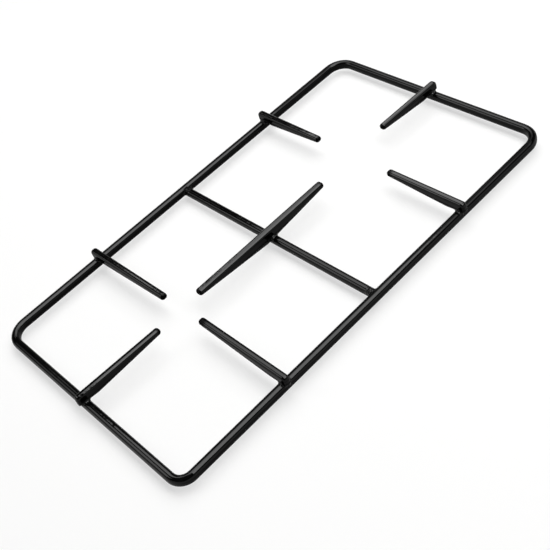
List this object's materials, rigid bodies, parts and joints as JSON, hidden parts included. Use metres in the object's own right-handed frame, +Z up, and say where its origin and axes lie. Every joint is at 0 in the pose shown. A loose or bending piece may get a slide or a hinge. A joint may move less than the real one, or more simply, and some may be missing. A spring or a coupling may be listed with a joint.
{
  "type": "hob pan support",
  "caption": "Rectangular pan support for a gas hob: a bar frame with rounded corners, a bar across its middle and tapered prongs pointing in at the burner openings.",
  "frame": {"origin": "middle of the frame, on the plane its underside rests on", "axes": "+Y along the length towards the larger burner opening, +X across the width, +Z up"},
  "size_m": [0.2782, 0.4838, 0.0187],
  "materials": {
    "enamel": "gloss black vitreous enamel on steel"
  },
  "bodies": {
    "root": {"outer_frame": "enamel", "cross_bar": "enamel", "middle_prong": "enamel", "prong_near_left": "enamel", "prong_near_right": "enamel", "prong_near_end": "enamel", "prong_far_left": "enamel", "prong_far_right": "enamel", "prong_far_end": "enamel"}
  },
  "joints": []
}
